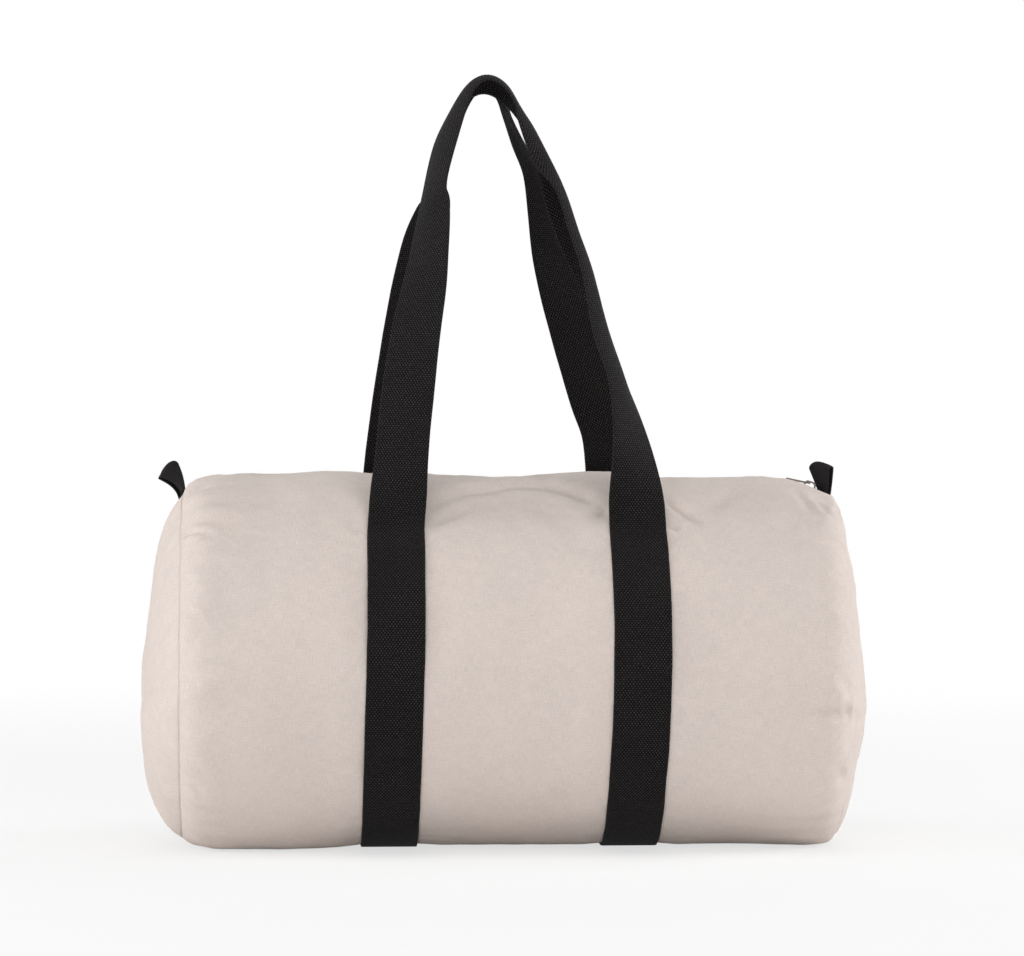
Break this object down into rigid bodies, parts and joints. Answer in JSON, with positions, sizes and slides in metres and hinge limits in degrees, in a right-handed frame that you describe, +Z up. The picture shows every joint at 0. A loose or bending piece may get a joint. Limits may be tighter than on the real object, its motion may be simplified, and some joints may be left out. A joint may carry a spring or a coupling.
{
  "type": "barrel bag",
  "caption": "Soft barrel bag of pale cotton canvas with a zipped top mouth, dark webbing straps round the body and long webbing carrying handles.",
  "frame": {"origin": "middle of the bounding box on the surface that the bag stands on", "axes": "+X along the barrel towards the end where the zip closes, -Y towards the front of the picture, +Z up"},
  "size_m": [0.5244, 0.2716, 0.5516],
  "materials": {
    "cotton": "unbleached cotton canvas, plain weave with small flecks, matt",
    "webbing": "black cotton webbing, coarse ribbed weave, matt",
    "tab_tape": "black cotton tape, fine ribs across, matt",
    "dark_thread": "black sewing thread",
    "zip_tape": "undyed woven zip and binding tape, matt",
    "zip_teeth": "moulded coil, satin",
    "zip_metal": "plated zinc casting, worn satin"
  },
  "bodies": {
    "root": {"body_panel": "cotton", "left_end_panel": "cotton", "right_end_panel": "cotton", "left_seam_binding": "zip_tape", "right_seam_binding": "zip_tape", "left_strap": "webbing", "right_strap": "webbing", "front_cross_stitching": "dark_thread", "back_cross_stitching": "dark_thread", "left_zip_end": "zip_tape", "right_zip_end": "zip_tape", "zip_top_stops": "zip_metal", "zip_bottom_stop": "zip_metal", "left_end_tab": "tab_tape", "right_end_tab": "tab_tape"},
    "front_mouth": {"front_mouth_edge": "cotton", "front_zip_tape": "zip_tape", "front_zip_teeth": "zip_teeth"},
    "back_mouth": {"back_mouth_edge": "cotton", "back_zip_tape": "zip_tape", "back_zip_teeth": "zip_teeth"},
    "front_handle": {"front_handle": "webbing"},
    "back_handle": {"back_handle": "webbing"},
    "slider": {"zip_slider": "zip_metal"},
    "pull": {"zip_pull": "zip_metal"}
  },
  "joints": [
    {"name": "zip_slide", "type": "slide", "parent": "root", "child": "slider", "axis": [0.9999, 0, -0.0163], "range_m": [-0.408, 0], "deforming": ["front_zip_tape", "back_zip_tape", "front_zip_teeth", "back_zip_teeth"]},
    {"name": "front_mouth_open", "type": "hinge", "parent": "root", "child": "front_mouth", "pos_m": [0, -0.07652, 0.23991], "axis": [1, 0, 0], "range_deg": [0, 55]},
    {"name": "back_mouth_open", "type": "hinge", "parent": "root", "child": "back_mouth", "pos_m": [0, 0.07652, 0.23991], "axis": [-1, 0, 0], "range_deg": [0, 55]},
    {"name": "front_handle_swing", "type": "hinge", "parent": "root", "child": "front_handle", "pos_m": [0, -0.09702, 0.22773], "axis": [1, 0, 0], "range_deg": [0, 140]},
    {"name": "back_handle_swing", "type": "hinge", "parent": "root", "child": "back_handle", "pos_m": [0, 0.09702, 0.22773], "axis": [-1, 0, 0], "range_deg": [0, 140]},
    {"name": "pull_swing", "type": "hinge", "parent": "slider", "child": "pull", "pos_m": [0.21805, 0, 0.25962], "axis": [0, 1, 0], "range_deg": [0, 85]}
  ],
  "couplings": [
    {"joint": "front_mouth_open", "follows": "zip_slide", "rad_per_m": -2.352},
    {"joint": "back_mouth_open", "follows": "zip_slide", "rad_per_m": -2.352}
  ]
}
